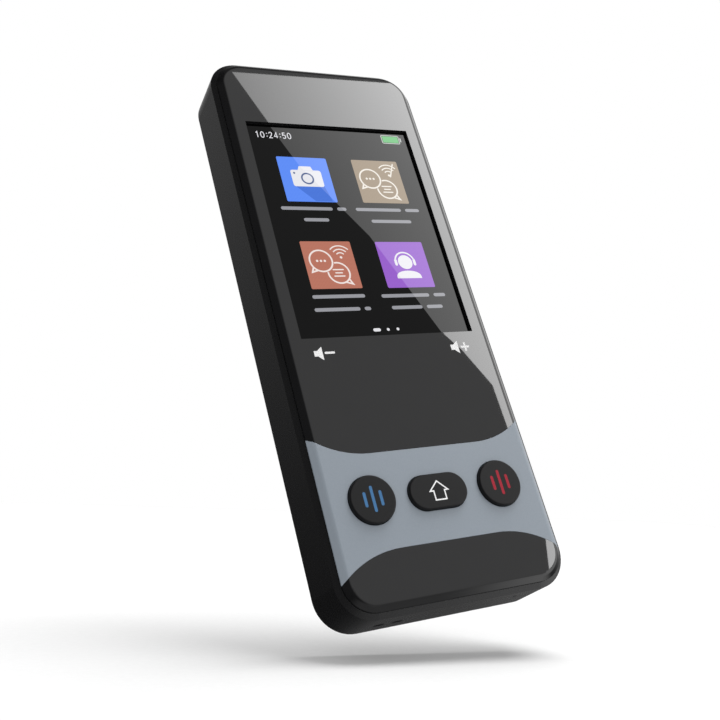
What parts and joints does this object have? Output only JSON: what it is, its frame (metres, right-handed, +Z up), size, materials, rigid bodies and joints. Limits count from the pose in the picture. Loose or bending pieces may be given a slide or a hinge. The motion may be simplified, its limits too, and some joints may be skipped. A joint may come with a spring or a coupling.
{
  "type": "handheld translator",
  "caption": "Slim dark handheld translator with a recessed touch screen, a slate band round its front keys, a side power key, a rear camera and a charging socket.",
  "frame": {"origin": "middle of the bottom end, at half the depth over the keys", "axes": "+Z up the length of the body, +X to the right of someone reading the screen, screen facing -Y"},
  "size_m": [0.0544, 0.0152, 0.1372],
  "materials": {
    "housing_plastic": "fine satin texture, dark grey ABS",
    "cover_plastic": "smooth dark grey ABS",
    "band_plastic": "slate grey, semi-gloss",
    "key_plastic": "matte dark grey",
    "touch_glass": "clear, black print at the edge",
    "black_tape": "black adhesive film",
    "display_cell": "dark laminated cell",
    "light_guide": "clear acrylic",
    "tray_steel": "thin stamped sheet",
    "ribbon_film": "amber polyimide",
    "socket_plastic": "black moulded",
    "foam": "closed-cell foam",
    "board": "green solder mask",
    "screw_steel": "zinc plated",
    "chip_resin": "black moulding resin",
    "shield_steel": "tinned sheet",
    "switch_body": "black moulded",
    "switch_plunger": "natural nylon",
    "battery_foil": "matt laminated pouch",
    "lead_cover": "red insulation",
    "plug_plastic": "white nylon",
    "speaker_plastic": "black moulded",
    "magnet_steel": "nickel plated",
    "cone_film": "thin formed film",
    "gasket_rubber": "soft black",
    "mesh_fabric": "black woven dust mesh",
    "pin_brass": "gold plated",
    "microphone_can": "drawn can",
    "port_steel": "drawn shell",
    "port_tongue": "black moulded",
    "camera_plastic": "black moulded",
    "camera_lens": "coated",
    "camera_trim": "dark anodised",
    "camera_window": "clear with a dark ring",
    "lamp_diode": "yellow phosphor on white",
    "lamp_lens": "frosted clear"
  },
  "bodies": {
    "casing": {"rear_housing": "housing_plastic", "front_cover": "cover_plastic", "control_band": "band_plastic", "touch_glass": "touch_glass", "glass_tape": "black_tape", "lcd_panel": "display_cell", "light_guide": "light_guide", "display_tray": "tray_steel", "display_ribbon": "ribbon_film", "display_socket": "socket_plastic", "display_foam": "foam", "main_board": "board", "board_screws": "screw_steel", "processor": "chip_resin", "memory_chip": "chip_resin", "rf_shield": "shield_steel", "antenna": "shield_steel", "left_key_switch": "switch_body", "home_key_switch": "switch_body", "right_key_switch": "switch_body", "power_switch": "switch_body", "battery_pack": "battery_foil", "battery_tape": "black_tape", "battery_leads": "lead_cover", "battery_plug": "plug_plastic", "battery_socket": "plug_plastic", "speaker_basket": "speaker_plastic", "speaker_magnet": "magnet_steel", "speaker_cone": "cone_film", "speaker_gasket": "gasket_rubber", "speaker_mesh": "mesh_fabric", "speaker_pins": "pin_brass", "microphone": "microphone_can", "microphone_boot": "gasket_rubber", "usb_c_shell": "port_steel", "usb_c_tongue": "port_tongue", "camera_base": "camera_plastic", "camera_barrel": "camera_plastic", "camera_lens": "camera_lens", "camera_trim": "camera_trim", "camera_window": "camera_window", "lamp_led": "lamp_diode", "lamp_lens": "lamp_lens"},
    "left_talk_button": {"left_talk_key": "key_plastic", "left_key_switch_plunger": "switch_plunger"},
    "home_button": {"home_key": "key_plastic", "home_key_switch_plunger": "switch_plunger"},
    "right_talk_button": {"right_talk_key": "key_plastic", "right_key_switch_plunger": "switch_plunger"},
    "power_button": {"power_key": "key_plastic", "power_switch_plunger": "switch_plunger"}
  },
  "joints": [
    {"name": "left_talk_press", "type": "slide", "parent": "casing", "child": "left_talk_button", "axis": [0, 1, 0], "range_m": [0, 0.00035], "stiffness_N_per_m": 3000},
    {"name": "home_press", "type": "slide", "parent": "casing", "child": "home_button", "axis": [0, 1, 0], "range_m": [0, 0.00035], "stiffness_N_per_m": 3000},
    {"name": "right_talk_press", "type": "slide", "parent": "casing", "child": "right_talk_button", "axis": [0, 1, 0], "range_m": [0, 0.00035], "stiffness_N_per_m": 3000},
    {"name": "power_press", "type": "slide", "parent": "casing", "child": "power_button", "axis": [-1, 0, 0], "range_m": [0, 0.00025], "stiffness_N_per_m": 4000}
  ]
}
